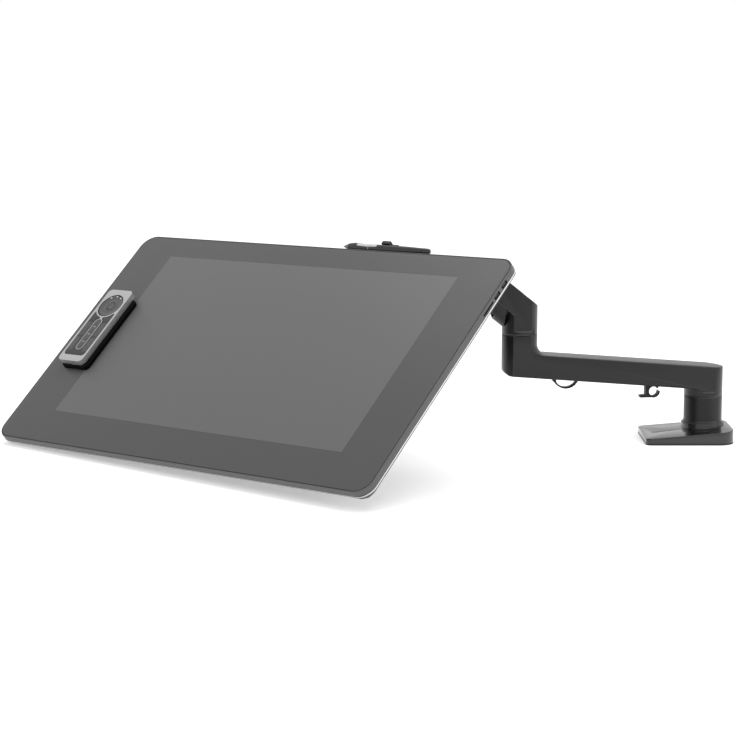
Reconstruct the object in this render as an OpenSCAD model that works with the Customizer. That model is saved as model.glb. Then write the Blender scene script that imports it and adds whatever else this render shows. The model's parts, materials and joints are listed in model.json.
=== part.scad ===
// Pen display on a swing arm: a desk base with a pillar, a lower arm, a sprung upper
// arm with a levelling link, a pan, tilt and rotate head, the display, its pen and key remote.
// The origin is on the desk under the pillar's axis. Up is +Z and the user sits towards -Y.

/* [Base] */
// Length of the base plate
base_len = 121; // [100:1:160]
// Depth of the base plate
base_depth = 102; // [95:1:180]
// Plate thickness at the thin end, above the pad
base_thin = 7; // [6:0.5:10]
// Plate thickness at the thick end, above the pad
base_thick = 17; // [14.5:0.5:22]
// Thickness of the rubber pad under the plate
pad_t = 1.5; // [1:0.5:4]
// Distance from the pillar's axis to the thick end of the plate
base_right = 35; // [32:1:50]
// Distance from the pillar's axis to the back edge of the plate
base_back = 31; // [31:1:50]

/* [Pillar and lower arm] */
// Radius of the pillar
pillar_r = 26.3; // [24:0.1:32]
// Height of the joint between pillar and lower arm
pillar_seam = 58.2; // [46:0.1:80]
// Distance between pillar and elbow axes
lower_len = 260.7; // [220:0.1:340]
// How far the lower arm rises towards the elbow
lower_rise = 23.3; // [10:0.1:30]
// Height of the lower arm's section
lower_h = 32; // [28:0.5:36]
// Radius of the elbow
elbow_r = 24.2; // [22:0.1:30]
// Height of the joint between lower arm and shoulder
elbow_seam = 149.3; // [144:0.1:175]
// Turn of the lower arm at rest
lower_yaw = 9; // [-60:1:60]
// Width of the loop cable clip's ring
loop_w = 37; // [30:1:46]

/* [Upper arm] */
// Length of the upper arm between its pins
upper_len = 252.7; // [205:0.1:305]
// Fall of the upper arm at rest
upper_fall = 30; // [0:0.1:35]
// Turn of the upper arm at rest
upper_yaw = 10.1; // [-40:0.1:40]
// Spacing of the upper arm and its levelling link
link_gap = 26; // [24:0.5:32]
// Reach of the lift pin from the elbow axis
lift_reach = 62; // [56:1:90]
// Height of the lift pin above the elbow joint
lift_h = 73.3; // [66:0.1:110]

/* [Head] */
// Distance from the last arm pin to the pan axis
pan_reach = 28; // [27:0.5:40]
// Distance from the pan axis to the tilt axis
tilt_reach = 35; // [34:0.5:50]
// Distance from the tilt axis to the front of the glass
tilt_back = 88; // [86:0.5:110]
// Pan of the display at rest
pan_angle = -42.7; // [-80:0.1:80]
// Tilt of the display at rest
tilt_angle = 40.5; // [10:0.1:90]
// Turn of the display about its normal at rest
roll_angle = 1.8; // [-5:0.1:5]
// Hole spacing of the display's mounting plate
plate_pitch = 100; // [75:25:100]

/* [Display] */
// Width of the display
panel_w = 671; // [555:1:805]
// Height of the display
panel_h = 386; // [345:1:465]
// Radius of the display's corners
panel_corner = 24; // [12:1:40]
// Width of the plain border beside the active screen, both sides together
border_w = 149; // [130:1:180]
// Height of the plain border above and below the active screen, together
border_h = 92; // [80:1:120]
// Width of the rim around the glass
rim_lip = 3.5; // [2:0.5:6]
// Thickness of the front glass
glass_t = 1.8; // [1:0.1:3]
// Thickness of the edge band
edge_t = 9; // [8.5:0.5:14]
// Depth of the whole display
panel_d = 47; // [45:1:60]
// Wall of the rear cover
cover_wall = 2; // [1.5:0.5:3]

/* [Pen] */
// Length of the pen
pen_len = 150; // [130:1:170]
// Radius of the pen's barrel
pen_r = 5.4; // [4.5:0.1:7]
// Height of the pen's axis from the glass, negative when it lies lower
pen_lift = -4.2; // [-6:0.2:-3]
// Distance of the pen's tip from the display's centre line
pen_start = 37.3; // [20:0.1:100]

/* [Remote] */
// Width of the key remote
remote_w = 48; // [46:1:56]
// Length of the key remote
remote_l = 134; // [130:1:160]
// Thickness of the key remote
remote_t = 8; // [8:0.5:12]
// Height of the holder that the remote rests on
holder_t = 6; // [3:0.5:8]
// Outer radius of the touch ring
ring_r = 19.5; // [17:0.5:20]

/* [Hidden] */
$fn = 64;
e = 0.01;
play = 0.05;
gap = 0.3;

black = [0.06, 0.06, 0.065];
dark = [0.13, 0.13, 0.14];
grey = [0.35, 0.35, 0.36];
silver = [0.62, 0.62, 0.63];

// Base: the boss carries the pillar, level above the sloping top of the plate
plate_floor = pad_t;
boss_top = pad_t + base_thick + 2;
boss_r = pillar_r + 3.2;
base_corner = 8;
base_end_corner = 22;
bolt_x = [-72, -42];
bolt_y = [-base_depth + base_back + 17, base_back - 17];
bolt_r = 2.5;
bolt_depth = 5;
grommet_r = 5;
grommet_depth = 12;
foot_screw_ring = 19;
foot_screw_r = 2.5;

// Lower arm: spindles, flats and the section's slope
spindle_r = 12;
spindle_top = pillar_seam + 30;
washer_t = 0.5;
collar_h = 6.5;
collar_gap = 10.1;
flat_a = pillar_r - 2.1;
flat_b = elbow_r - 3.4;
elbow_spindle_r = 10;
elbow_spindle_down = 30;
elbow_spindle_up = 24;
arm_top_a = pillar_seam + collar_gap + lower_h;
arm_top_b = arm_top_a + lower_rise;
arm_bot_a = arm_top_a - lower_h;
arm_bot_b = arm_top_b - lower_h;
arm_slope = lower_rise / lower_len;
elbow_fillet = 14;
elbow_corner = 13;
channel_w = 26;
loop_at = 196;
clip_w = 9;
clip_t = 2.2;
hook_at = 75;
channel_in = 44;
cover_t = 2.4;

// Upper arm: pins and section
pin_r = 4;
tongue = 12;
cheek_in = tongue + gap;
cheek_t = 5;
link_half = 18;
eye_r = 13;
lift_pos = [lift_reach, 0, elbow_seam + lift_h];
fall_x = upper_len * cos(upper_fall);
fall_z = upper_len * sin(upper_fall);
end_pos = lift_pos + [fall_x, 0, -fall_z];
shoulder_rise = 38.5;
side_depth = 31;
hub_top = 37.6;

// Head and display placement
elbow_at = [-lower_len * cos(lower_yaw), -lower_len * sin(lower_yaw), 0];
pan_x = end_pos[0] + pan_reach;
tilt_drop = 19.8;
pan_at = elbow_at + [-pan_x * cos(upper_yaw), -pan_x * sin(upper_yaw), end_pos[2] - tilt_drop];
barrel_r = 17;
barrel_top = -7;
barrel_h = 30;
pan_spindle_r = 9;
tilt_half = 18;
tilt_r = 12;
tilt_pin_r = 5;
yoke_ear = 8;
spin_r = 11;
plate_t = 4;
plate_w = plate_pitch + 20;
block_gap = 0.5;

// Display
glass_w = panel_w - 2 * rim_lip;
glass_h = panel_h - 2 * rim_lip;
glass_corner = panel_corner - rim_lip;
ledge = 9;
screen_w = panel_w - border_w;
screen_h = panel_h - border_h;
screen_x = 1.65;
screen_y = 8.9;
lcd_t = 4.8;
sensor_t = 0.8;
sheet_t = 1.2;
lcd_back = -glass_t - lcd_t;
sensor_back = lcd_back - sensor_t;
sheet_back = sensor_back - sheet_t;
bevel_d = 5;
bevel_in = 2;
slope_in = 62;
bulge_in = 76;
slope_d = 34;
board_z = -panel_d + cover_wall + 14;
board_t = 1.6;
power_x = panel_w / 2 - 110.5;
power_y = 62;
stand_r = 3;
fan_x = panel_w / 2 - 160.5;
fan_y = -10;
fan_half = 30;
fan_t = 9;
fan_r = 26;
board_w = 2 * (fan_x - fan_half) - 54;
port_z = -edge_t / 2;
usb_y = [panel_h / 2 - 39.4, panel_h / 2 - 58.4];
usb_w = 13;
usb_h = 5.2;
usb_depth = 14;
card_y = panel_h / 2 - 81.4;
card_w = 25.5;
card_h = 2.4;
button_x = panel_w / 2 - 58;
button_w = 16;
button_h = 3.6;

// Pen
pen_out = 6.9;
pen_y = panel_h / 2 + pen_out;
pen_tip_l = 13;
nib_r = 0.9;
grip_l = 34;
cap_l = 10;
switch_at = 27;
switch_l = 35;
holder_at = 72;
holder_l = 26;

// Remote
remote_x = -panel_w / 2 + 51.3;
remote_y = 5.9;
remote_corner = 7;
shell_wall = 3.4;
face_t = 2;
face_top = holder_t + remote_t - 0.4;
ring_y = remote_l / 2 - 29.5;
button_r = 6.5;
key_gap = 0.4;
group_w = 12;
group_l = 56;
group_y = -17;
group_key = group_l / 4;
side_x = (remote_w / 2 - shell_wall + group_w / 2 + 3) / 2;
side_w = remote_w / 2 - shell_wall - group_w / 2 - 5;
side_l = 26;
side_y = [-8, -36];
key_t = 2.6;

// A flat rectangle with round corners, centred
module round_rect(w, h, r) {
    square([w - 2 * r, h], center = true);
    square([w, h - 2 * r], center = true);
    for (x = [-1, 1], y = [-1, 1]) {
        translate([x * (w / 2 - r), y * (h / 2 - r)]) circle(r);
    }
}

module slab(w, h, r, low, high) {
    translate([0, 0, low]) linear_extrude(high - low) round_rect(w, h, r);
}

// A cylinder along Y, centred on its middle
module bar_y(r, len) {
    rotate([90, 0, 0]) cylinder(r = r, h = len, center = true);
}

module bar_x(r, len) {
    rotate([0, 90, 0]) cylinder(r = r, h = len, center = true);
}

// A profile drawn in X and Z, given a width along Y
module side_profile(points, width) {
    translate([0, width / 2, 0]) rotate([90, 0, 0]) linear_extrude(width) polygon(points);
}

// Frames: each is where its children's own origin goes
module at_lower_arm() {
    rotate([0, 0, 180 + lower_yaw]) children();
}

module at_shoulder() {
    translate(elbow_at) rotate([0, 0, 180 + upper_yaw]) children();
}

module at_link(pos) {
    at_shoulder() translate(pos) rotate([0, upper_fall, 0]) children();
}

module at_pan() {
    translate(pan_at) rotate([0, 0, pan_angle]) children();
}

module at_tilt() {
    at_pan() translate([0, -tilt_reach, 0]) rotate([tilt_angle, 0, 0]) children();
}

module at_display() {
    at_tilt() translate([0, 0, tilt_back]) rotate([0, 0, roll_angle]) children();
}

module at_remote() {
    at_display() translate([remote_x, remote_y, 0]) children();
}

// Base
module base_outline() {
    front = base_back - base_depth;
    left = base_right - base_len;
    for (x = [left + base_corner, base_right - base_end_corner], y = [front, base_back]) {
        r = x < 0 && x == left + base_corner ? base_corner : base_end_corner;
        translate([x, y == front ? front + r : base_back - r]) circle(r);
    }
    translate([left, front + base_corner]) square([base_len / 2, base_depth - 2 * base_corner]);
    translate([left + base_corner, front]) square([base_len - base_corner - base_end_corner, base_depth]);
    translate([0, front + base_end_corner]) square([base_right, base_depth - 2 * base_end_corner]);
}

module foot_screw_spots() {
    for (a = [90, 210, 330]) rotate([0, 0, a]) translate([foot_screw_ring, 0, 0]) children();
}

module base_plate() {
    left = base_right - base_len;
    wedge = [[left, plate_floor], [base_right, plate_floor],
        [base_right, plate_floor + base_thick], [left, plate_floor + base_thin]];
    color(dark) difference() {
        union() {
            intersection() {
                translate([0, 0, plate_floor]) linear_extrude(base_thick + 5) base_outline();
                translate([0, base_back, 0]) rotate([90, 0, 0]) linear_extrude(base_depth) polygon(wedge);
            }
            translate([0, 0, plate_floor]) cylinder(r = boss_r, h = boss_top - plate_floor);
        }
        translate([0, 0, -e]) cylinder(r = grommet_r, h = grommet_depth + e);
        foot_screw_spots() cylinder(r = foot_screw_r + 0.5, h = 3 * boss_top, center = true);
        foot_screw_spots() translate([0, 0, -e]) cylinder(r = 5.5, h = plate_floor + 6 + e);
        for (x = bolt_x, y = bolt_y) translate([x, y, -e]) cylinder(r = bolt_r, h = plate_floor + bolt_depth + e);
        translate([left + 14, -28, plate_floor + base_thin]) rotate([0, 0, 8]) cube([34, 1.6, 12]);
    }
}

module base_pad() {
    color(black) difference() {
        linear_extrude(pad_t) base_outline();
        translate([0, 0, -1]) cylinder(r = grommet_r + 1, h = 9);
        foot_screw_spots() cylinder(r = 6.5, h = 9, center = true);
        for (x = bolt_x, y = bolt_y) translate([x, y, -1]) cylinder(r = bolt_r + 1, h = 9);
    }
}

module base_screws() {
    color(silver) foot_screw_spots() difference() {
        union() {
            translate([0, 0, plate_floor + 2]) cylinder(r = 5, h = 4);
            translate([0, 0, plate_floor + 2]) cylinder(r = foot_screw_r, h = boss_top - plate_floor + 8);
        }
        translate([0, 0, plate_floor + 2 - e]) cylinder(r = 1.9, h = 2.2, $fn = 6);
    }
}

module pillar() {
    top = pillar_seam - washer_t;
    color(dark) difference() {
        union() {
            translate([0, 0, boss_top]) cylinder(r = pillar_r, h = top - boss_top);
            translate([0, 0, boss_top]) rotate_extrude() difference() {
                square([boss_r, 3]);
                translate([pillar_r + 3.4, 3.2]) circle(3);
            }
        }
        translate([0, 0, boss_top - e]) cylinder(r = spindle_r, h = 60);
        foot_screw_spots() translate([0, 0, boss_top - e]) cylinder(r = foot_screw_r, h = 12);
    }
}

module pillar_spindle() {
    color(silver) difference() {
        translate([0, 0, boss_top]) cylinder(r = spindle_r - play, h = spindle_top - boss_top);
        translate([0, 0, boss_top - e]) cylinder(r = 4, h = 60);
    }
}

module ring_washer(r, bore, z) {
    translate([0, 0, z]) difference() {
        cylinder(r = r, h = washer_t - play);
        translate([0, 0, -1]) cylinder(r = bore, h = 3);
    }
}

module pillar_washer() {
    color(black) ring_washer(pillar_r - 0.8, spindle_r + 0.3, pillar_seam - washer_t);
}

// Lower arm: its own frame has X from the pillar to the elbow
module tapered_plan() {
    extra = 40;
    taper = (flat_a - flat_b) / lower_len;
    a = flat_a + extra * taper;
    b = flat_b - extra * taper;
    polygon([[-extra, -a], [lower_len + extra, -b], [lower_len + extra, b], [-extra, a]]);
}

// The beam seen from the side, from under the pillar's end to past the elbow
module beam_side() {
    polygon([[-30, arm_bot_a - 30 * arm_slope], [lower_len + 40, arm_bot_b + 40 * arm_slope],
        [lower_len + 40, arm_top_b + 40 * arm_slope], [-30, arm_top_a - 30 * arm_slope]]);
}

// The elbow's lower outer corner is cut round
module elbow_corner_cut() {
    x = lower_len + elbow_r - elbow_corner;
    z = arm_bot_b + elbow_corner;
    difference() {
        translate([x, z - elbow_corner - 9]) square([elbow_corner + 30, elbow_corner + 9]);
        translate([x, z]) circle(elbow_corner);
    }
}

module between_flats() {
    linear_extrude(200) intersection() {
        tapered_plan();
        children();
    }
}

// A concave round where the elbow column rises from the beam
module elbow_round() {
    z = arm_top_b - arm_slope * (elbow_r + elbow_fillet * 0.5);
    translate([lower_len, 0, z - 6]) rotate_extrude() difference() {
        square([elbow_r + elbow_fillet, elbow_fillet + 6]);
        translate([elbow_r + elbow_fillet, elbow_fillet + 6]) circle(elbow_fillet);
    }
}

module lower_arm_solid() {
    top = elbow_seam - washer_t;
    difference() {
        union() {
            intersection() {
                translate([0, 60, 0]) rotate([90, 0, 0]) linear_extrude(120) beam_side();
                between_flats() union() {
                    circle(pillar_r);
                    translate([lower_len, 0]) circle(elbow_r);
                    translate([0, -40]) square([lower_len, 80]);
                }
            }
            intersection() {
                translate([0, 0, pillar_seam]) cylinder(r = pillar_r, h = arm_bot_a - pillar_seam + 8);
                between_flats() square(4 * pillar_r, center = true);
            }
            translate([0, 0, pillar_seam]) cylinder(r = pillar_r, h = collar_h);
            intersection() {
                union() {
                    translate([lower_len, 0, arm_bot_b + 8]) cylinder(r = elbow_r, h = top - arm_bot_b - 8);
                    intersection() {
                        elbow_round();
                        translate([lower_len - 60, -60, 0]) cube([60, 120, 200]);
                    }
                }
                between_flats() translate([lower_len - 60, -40]) square([120, 80]);
            }
        }
        translate([0, 60, 0]) rotate([90, 0, 0]) linear_extrude(120) elbow_corner_cut();
        translate([lower_len, 0, top]) cylinder(r = 2 * elbow_r, h = 40);
    }
}

module lower_arm_channel(clear) {
    len = lower_len - 2 * channel_in;
    z = arm_bot_a + channel_in * arm_slope;
    translate([channel_in + clear, 0, z]) rotate([0, -atan(arm_slope), 0])
        translate([0, -channel_w / 2 + clear, -3]) children();
}

module lower_arm() {
    len = (lower_len - 2 * channel_in) / cos(atan(arm_slope));
    color(dark) at_lower_arm() difference() {
        lower_arm_solid();
        translate([0, 0, pillar_seam - e]) cylinder(r = spindle_r, h = spindle_top - pillar_seam + 1);
        translate([lower_len, 0, elbow_seam - elbow_spindle_down]) cylinder(r = elbow_spindle_r, h = 60);
        lower_arm_channel(0) cube([len, channel_w, lower_h - 2]);
    }
}

module lower_arm_cover() {
    len = (lower_len - 2 * channel_in) / cos(atan(arm_slope)) - 2 * play;
    color(black) at_lower_arm() lower_arm_channel(play) translate([0, 0, 3]) difference() {
        union() {
            cube([len, channel_w - 2 * play, cover_t]);
            for (x = [14, len - 20]) translate([x, 3, 0]) cube([6, channel_w - 6.1, lower_h - 5.1]);
        }
        for (x = [17, len - 17]) translate([x, channel_w / 2, -e]) cylinder(r = 1.6, h = 8);
    }
}

module elbow_spindle() {
    color(silver) at_shoulder() difference() {
        translate([0, 0, elbow_seam - elbow_spindle_down])
            cylinder(r = elbow_spindle_r - play, h = elbow_spindle_down + elbow_spindle_up);
        translate([0, 0, elbow_seam - elbow_spindle_down - e]) cylinder(r = 3, h = 90);
    }
}

module elbow_washer() {
    color(black) at_shoulder() ring_washer(elbow_r - 1, elbow_spindle_r + 0.3, elbow_seam - washer_t);
}

// Height of the lower arm's underside at a distance from the pillar
function under(x) = arm_bot_a + arm_slope * x;

// What lies above the lower arm's underside
module above_arm() {
    translate([0, -30, arm_bot_a]) rotate([0, -atan(arm_slope), 0]) cube([lower_len, 60, 40]);
}

// An open ring under the arm, with a hooked end
module loop_clip() {
    ring = loop_w / 2;
    sunk = 4.6;
    color(black) at_lower_arm() translate([loop_at, 0, under(loop_at)]) rotate([0, -atan(arm_slope), 0]) difference() {
        union() {
            difference() {
                translate([0, 0, sunk]) bar_y(ring, clip_w);
                translate([0, 0, sunk]) bar_y(ring - clip_t, clip_w + 2);
            }
            translate([-ring + 2, -clip_w / 2, -clip_t]) cube([2 * ring - 8, clip_w, clip_t]);
            translate([ring - 3.2, 0, -4]) bar_y(clip_t, clip_w);
        }
        translate([-ring - 5, -clip_w, 0]) cube([2 * ring + 10, 2 * clip_w, ring + 10]);
    }
}

// A hook with a small open ring beside its stem
module hook_clip() {
    ring = 6.5;
    z = under(hook_at) - 9.8;
    color(black) at_lower_arm() difference() {
        union() {
            translate([hook_at + 4, -5, z - 5]) cube([4.5, 10, 18]);
            translate([hook_at - 4, -5, z - 8.5]) cube([20, 10, 3.5]);
            translate([hook_at - 3, 0, z]) bar_y(ring + 2.4, 10);
        }
        translate([hook_at - 3, 0, z]) bar_y(ring, 12);
        translate([hook_at - 16, -6, z - 3]) rotate([0, -35, 0]) cube([10, 12, 4]);
        above_arm();
    }
}

// Shoulder: a hub above the elbow and a member that rises to the lift pin
function crown(x) = elbow_seam + hub_top + (x + elbow_r) * tan(shoulder_rise);
function belly(x) = crown(x) - side_depth / cos(shoulder_rise);
crest_x = (elbow_seam + lift_h + eye_r - crown(0)) / tan(shoulder_rise);

module shoulder_solid() {
    half = elbow_r - 3.4;
    intersection() {
        union() {
            intersection() {
                side_profile([[-elbow_r - 1, elbow_seam], [elbow_r + 1, elbow_seam], [elbow_r + 1, crown(elbow_r)],
                    [-elbow_r + 2.6, crown(-elbow_r + 2.6)], [-elbow_r - 1, crown(-elbow_r) - 1]], 90);
                translate([0, 0, elbow_seam]) cylinder(r = elbow_r, h = 90);
            }
            intersection() {
                side_profile([[0, belly(0)], [lift_reach - 8, belly(lift_reach - 8)],
                    [lift_reach - 8, elbow_seam + lift_h + eye_r],
                    [crest_x, elbow_seam + lift_h + eye_r], [0, crown(0)]], 90);
                translate([0, -half, elbow_seam]) cube([200, 2 * half, 200]);
            }
        }
        union() {
            translate([-60, -half, elbow_seam]) cube([260, 2 * half, 200]);
            translate([0, 0, elbow_seam]) cylinder(r = elbow_r, h = 5);
        }
    }
}

module shoulder() {
    color(dark) at_shoulder() difference() {
        union() {
            shoulder_solid();
            translate([lift_reach - 22, -tongue, lift_pos[2] - link_gap - 4]) cube([22, 2 * tongue, link_gap + 16]);
            translate(lift_pos) bar_y(eye_r, 2 * tongue);
            translate(lift_pos - [0, 0, link_gap]) bar_y(10, 2 * tongue);
            translate([lift_reach - 2, -tongue, lift_pos[2] - link_gap]) cube([12, 2 * tongue, link_gap]);
        }
        translate(lift_pos) bar_y(pin_r, 60);
        translate(lift_pos - [0, 0, link_gap]) bar_y(pin_r, 60);
        translate([0, 0, elbow_seam - e]) cylinder(r = elbow_spindle_r, h = elbow_spindle_up + 1);
        for (s = [-1, 1]) {
            translate(lift_pos + [0, s * (cheek_in + 10), 0]) bar_y(link_half + 2, 20);
            translate(lift_pos + [0, s * (cheek_in + 10), -link_gap]) bar_y(12, 20);
        }
    }
}

// The round trough under the shoulder, which hides the cables
module shoulder_cover() {
    half = elbow_r - 3.4;
    start = elbow_r + 0.3;
    len = 26;
    color(grey) at_shoulder() intersection() {
        translate([start, 0, belly(start) - 0.1]) rotate([0, -shoulder_rise, 0]) difference() {
            bar_x(half, 4 * len);
            bar_x(half - 2, 5 * len);
            translate([-60, -30, 0]) cube([120, 60, 60]);
        }
        difference() {
            translate([start, -40, elbow_seam + 2]) cube([len, 80, 90]);
            translate([lift_reach - 24, -tongue - gap, elbow_seam]) cube([40, 2 * (tongue + gap), 90]);
        }
    }
}

module shoulder_pins() {
    half = cheek_in + cheek_t;
    color(silver) at_shoulder() {
        translate(lift_pos) bar_y(pin_r - play, 2 * half);
        translate(lift_pos - [0, 0, link_gap]) bar_y(pin_r - play, 2 * half);
    }
}

// Upper arm: two cheeks with a web over them, drawn along X from the lift pin
module upper_arm() {
    half = cheek_in + cheek_t;
    color(dark) at_link(lift_pos) difference() {
        union() {
            for (s = [-1, 1]) translate([0, s * (cheek_in + cheek_t / 2), 0]) {
                bar_y(link_half - 2, cheek_t);
                translate([upper_len, 0, 0]) bar_y(link_half - 5, cheek_t);
                side_profile([[0, -14], [upper_len, -12], [upper_len, 12.5], [0, 15.5]], cheek_t);
            }
            side_profile([[40, 11.5], [upper_len - 34, 9.5], [upper_len - 34, 12.5], [40, 15.2]], 2 * half);
            for (x = [48, upper_len - 44]) translate([x, 0, 0]) bar_y(3, 2 * cheek_in + 2);
        }
        bar_y(pin_r, 60);
        translate([upper_len, 0, 0]) bar_y(pin_r, 60);
    }
}

module gas_spring() {
    a = 48;
    b = upper_len - 44;
    color(silver) at_link(lift_pos) difference() {
        union() {
            translate([a, 0, 0]) bar_y(7, 14);
            translate([b, 0, 0]) bar_y(7, 14);
            translate([(a + b) / 2 - 20, 0, 0]) bar_x(3.5, b - a - 46);
            translate([(a + b) / 2 + 18, 0, 0]) bar_x(8.5, b - a - 50);
        }
        translate([a, 0, 0]) bar_y(3 + play, 30);
        translate([b, 0, 0]) bar_y(3 + play, 30);
    }
}

module lower_link() {
    half = cheek_in + cheek_t;
    color(black) at_link(lift_pos - [0, 0, link_gap]) difference() {
        union() {
            for (x = [0, upper_len], s = [-1, 1]) {
                translate([x, s * (cheek_in + cheek_t / 2), 0]) bar_y(7.5, cheek_t);
            }
            for (s = [-1, 1]) translate([0, s * (cheek_in + cheek_t / 2), 0])
                side_profile([[0, -7], [upper_len, -7], [upper_len, 4], [0, 4]], cheek_t);
            side_profile([[40, -7], [upper_len - 40, -7], [upper_len - 40, -4], [40, -4]], 2 * half);
        }
        bar_y(pin_r, 60);
        translate([upper_len, 0, 0]) bar_y(pin_r + 0.5, 60);
    }
}

// Head bracket: stays level, and holds the pan bearing
module head_bracket() {
    drop = tilt_drop;
    low = barrel_top - barrel_h;
    color(dark) at_shoulder() translate(end_pos) difference() {
        union() {
            bar_y(10, 2 * tongue);
            translate([0, 0, -link_gap]) bar_y(10, 2 * tongue);
            translate([-10, -tongue, -link_gap]) cube([20, 2 * tongue, link_gap]);
            translate([0, -tongue, -link_gap - 9]) cube([pan_reach, 2 * tongue, link_gap + 9 + 1]);
            translate([pan_reach, 0, -drop + low]) cylinder(r = barrel_r, h = barrel_h);
        }
        bar_y(pin_r, 60);
        translate([0, 0, -link_gap]) bar_y(pin_r, 60);
        translate([pan_reach, 0, -drop + low - 1]) cylinder(r = pan_spindle_r, h = barrel_h + 40);
        translate([pan_reach, 0, -drop + barrel_top]) cylinder(r = barrel_r + 2.5, h = 40);
    }
}

module head_pins() {
    half = cheek_in + cheek_t;
    color(silver) at_shoulder() translate(end_pos) {
        bar_y(pin_r - play, 2 * half);
        translate([0, 0, -link_gap]) bar_y(pin_r - play, 2 * half);
    }
}

module pan_yoke() {
    ear_mid = tilt_half + gap + yoke_ear / 2;
    low = barrel_top + gap;
    color(dark) at_pan() difference() {
        union() {
            translate([0, 0, low]) cylinder(r = barrel_r, h = 11);
            translate([0, 0, barrel_top - barrel_h + 1]) cylinder(r = pan_spindle_r - play, h = barrel_h + 4);
            translate([-ear_mid - yoke_ear / 2, -tilt_reach + tilt_r + 2.5, low])
                cube([2 * ear_mid + yoke_ear, 9, 11]);
            translate([-12, -tilt_reach + tilt_r + 3, low]) cube([24, 18, 11]);
            for (s = [-1, 1]) translate([s * ear_mid, -tilt_reach, 0]) {
                bar_x(11, yoke_ear);
                translate([-yoke_ear / 2, 0, low]) cube([yoke_ear, tilt_r + 8, 11]);
            }
        }
        translate([0, -tilt_reach, 0]) bar_x(tilt_pin_r, 90);
    }
}

module tilt_pin() {
    half = tilt_half + gap + yoke_ear;
    color(silver) at_pan() translate([0, -tilt_reach, 0]) {
        bar_x(tilt_pin_r - play, 2 * half);
        for (s = [-1, 1]) translate([s * (half + 1.5), 0, 0]) bar_x(8, 3);
    }
}

module tilt_block() {
    face = tilt_back - panel_d - plate_t - block_gap;
    color(dark) at_tilt() difference() {
        union() {
            bar_x(tilt_r, 2 * tilt_half);
            translate([-13, -9, 0]) cube([26, 18, face - 4]);
            translate([0, 0, face - 9]) cylinder(r = 24, h = 9);
            translate([0, 0, face - 1]) cylinder(r = spin_r - play, h = plate_t + 1 + block_gap);
        }
        bar_x(tilt_pin_r, 90);
    }
}

// Display: drawn with the front of its glass at Z = 0 and its top towards +Y
module mount_spots() {
    for (x = [-1, 1], y = [-1, 1]) translate([x * plate_pitch / 2, y * plate_pitch / 2, 0]) children();
}

module mount_plate() {
    color(dark) at_display() difference() {
        slab(plate_w, plate_w, 10, -panel_d - plate_t, -panel_d);
        translate([0, 0, -panel_d - plate_t - 1]) cylinder(r = spin_r, h = plate_t + 2);
        mount_spots() translate([0, 0, -panel_d - plate_t - 1]) cylinder(r = 2.3, h = plate_t + 2);
        for (s = [-1, 1]) translate([s * plate_pitch * 0.42, 0, -panel_d - plate_t - 1]) {
            linear_extrude(plate_t + 2) round_rect(12, 46, 5.9);
        }
    }
}

module mount_screws() {
    color(silver) at_display() mount_spots() difference() {
        union() {
            translate([0, 0, -panel_d - plate_t - 2.6]) cylinder(r = 4, h = 2.6);
            translate([0, 0, -panel_d - plate_t - 1]) cylinder(r = 2, h = plate_t + 9);
        }
        translate([0, 0, -panel_d - plate_t - 3]) cylinder(r = 1.4, h = 2, $fn = 6);
    }
}

module front_glass() {
    color(grey) at_display() slab(glass_w, glass_h, glass_corner, -glass_t, 0);
}

module screen_panel() {
    color(grey) at_display() translate([screen_x, screen_y, lcd_back]) translate([-screen_w / 2 - 9, -screen_h / 2 - 9, 0])
        cube([screen_w + 18, screen_h + 18, lcd_t]);
}

module sensor_board() {
    color("darkgreen") at_display() translate([screen_x, screen_y, sensor_back])
        translate([-screen_w / 2 - 7, -screen_h / 2 - 7, 0]) cube([screen_w + 14, screen_h + 14, sensor_t]);
}

module chassis() {
    w = glass_w - 2 * ledge - 2 * play;
    h = glass_h - 2 * ledge - 2 * play;
    color(silver) at_display() difference() {
        slab(w, h, 12, sheet_back, sensor_back);
        mount_spots() translate([0, 0, -20]) cylinder(r = 4, h = 30);
        for (x = [-1, 1]) translate([x * fan_x, fan_y + 70, -20]) cylinder(r = 14, h = 30);
    }
}

module rim() {
    color(dark) at_display() difference() {
        slab(panel_w, panel_h, panel_corner, -edge_t, -0.3);
        slab(glass_w + 2 * play, glass_h + 2 * play, glass_corner + play, -glass_t, 1);
        slab(glass_w - 2 * ledge, glass_h - 2 * ledge, 12 + play, -edge_t - 1, 1);
        for (y = usb_y) translate([panel_w / 2 - usb_depth, y - usb_w / 2, port_z - usb_h / 2])
            cube([usb_depth + 1, usb_w, usb_h]);
        translate([panel_w / 2 - usb_depth, card_y - card_w / 2, port_z - card_h / 2])
            cube([usb_depth + 1, card_w, card_h]);
        translate([button_x - button_w / 2, panel_h / 2 - 4, port_z - button_h / 2])
            cube([button_w, 5, button_h]);
    }
}

// Where the rear cover's outline turns, on one side of the centre, at a wall's depth
function cover_points(half, wall, s) = [
    [s * (half - bevel_in - wall), -edge_t - bevel_d + wall * 0.6],
    [s * (half - slope_in - wall), -slope_d + wall],
    [s * (half - bulge_in - wall), -panel_d + wall]];

function cover_outline(half, wall, top) = concat(
    [[-half + wall, top], [half - wall, top]],
    cover_points(half, wall, 1),
    [for (i = [2:-1:0]) cover_points(half, wall, -1)[i]]);

module cover_body(w, h, wall, top) {
    intersection() {
        slab(w - 2 * wall, h - 2 * wall, panel_corner - wall, -panel_d + wall, top);
        side_profile(cover_outline(w / 2, wall, top), h + 10);
        rotate([0, 0, 90]) side_profile(cover_outline(h / 2, wall, top), w + 10);
    }
}

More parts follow.
